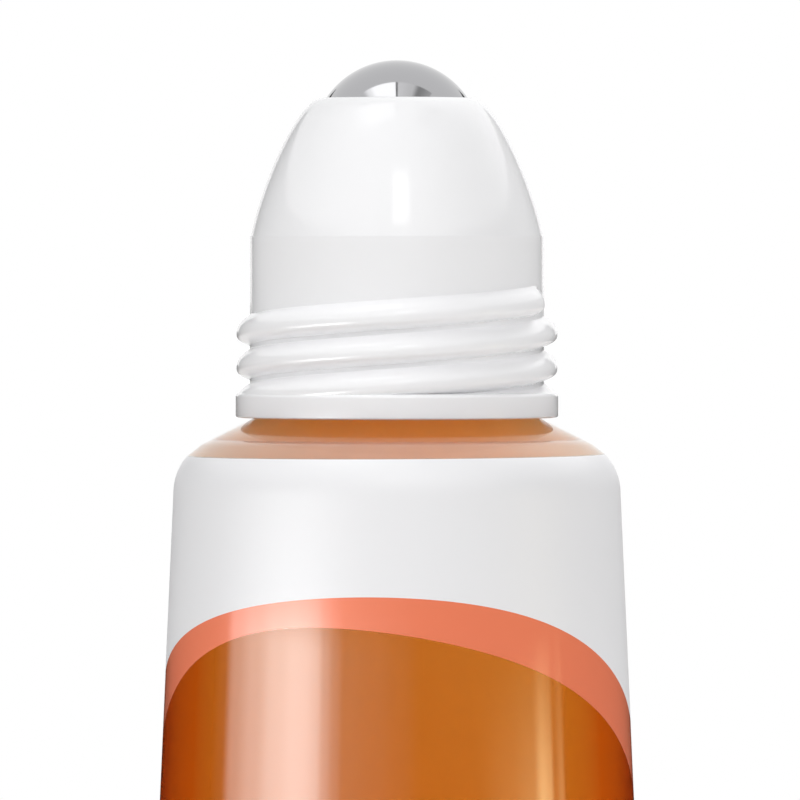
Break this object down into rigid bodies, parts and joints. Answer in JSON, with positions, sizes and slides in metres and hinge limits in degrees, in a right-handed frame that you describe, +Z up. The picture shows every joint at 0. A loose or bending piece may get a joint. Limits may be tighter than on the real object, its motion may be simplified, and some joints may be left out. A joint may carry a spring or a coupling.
{
  "type": "cuticle oil bottle",
  "caption": "Roll-on glass bottle of amber cuticle oil with a printed film sleeve, a white threaded roller housing and a sprung steel ball, cap off.",
  "frame": {"origin": "centre of the ring that the bottle stands on", "axes": "+Z up along the bottle's axis, -Y towards the front of the printed sleeve, +X to its right"},
  "size_m": [0.0284, 0.0284, 0.0649],
  "materials": {
    "clear_glass": "polished clear glass",
    "amber_oil": "clear amber oil",
    "white_print": "glossy white print",
    "coral_print": "glossy coral print",
    "clear_film": "clear glossy film",
    "white_polypropylene": "moulded semi-gloss white",
    "polished_steel": "mirror polished",
    "natural_polyethylene": "natural satin",
    "spring_steel": "drawn wire",
    "grey_rubber": "matte"
  },
  "bodies": {
    "bottle": {"glass_bottle": "clear_glass", "oil_fill": "amber_oil", "sleeve_white": "white_print", "sleeve_coral": "coral_print", "sleeve_window": "clear_film", "roller_housing": "white_polypropylene", "neck_gasket": "grey_rubber", "spring_plug": "natural_polyethylene", "ball_spring": "spring_steel"},
    "cup": {"ball_cup": "natural_polyethylene"},
    "ball": {"roller_ball": "polished_steel"}
  },
  "joints": [
    {"name": "ball_press", "type": "slide", "parent": "bottle", "child": "cup", "axis": [0, 0, -1], "range_m": [0, 0.0005], "stiffness_N_per_m": 400, "springref_m": -0.0015, "deforming": ["ball_spring"]},
    {"name": "ball_roll", "type": "hinge", "parent": "cup", "child": "ball", "pos_m": [0, 0, 0.06016], "axis": [1, 0, 0], "continuous": true}
  ]
}
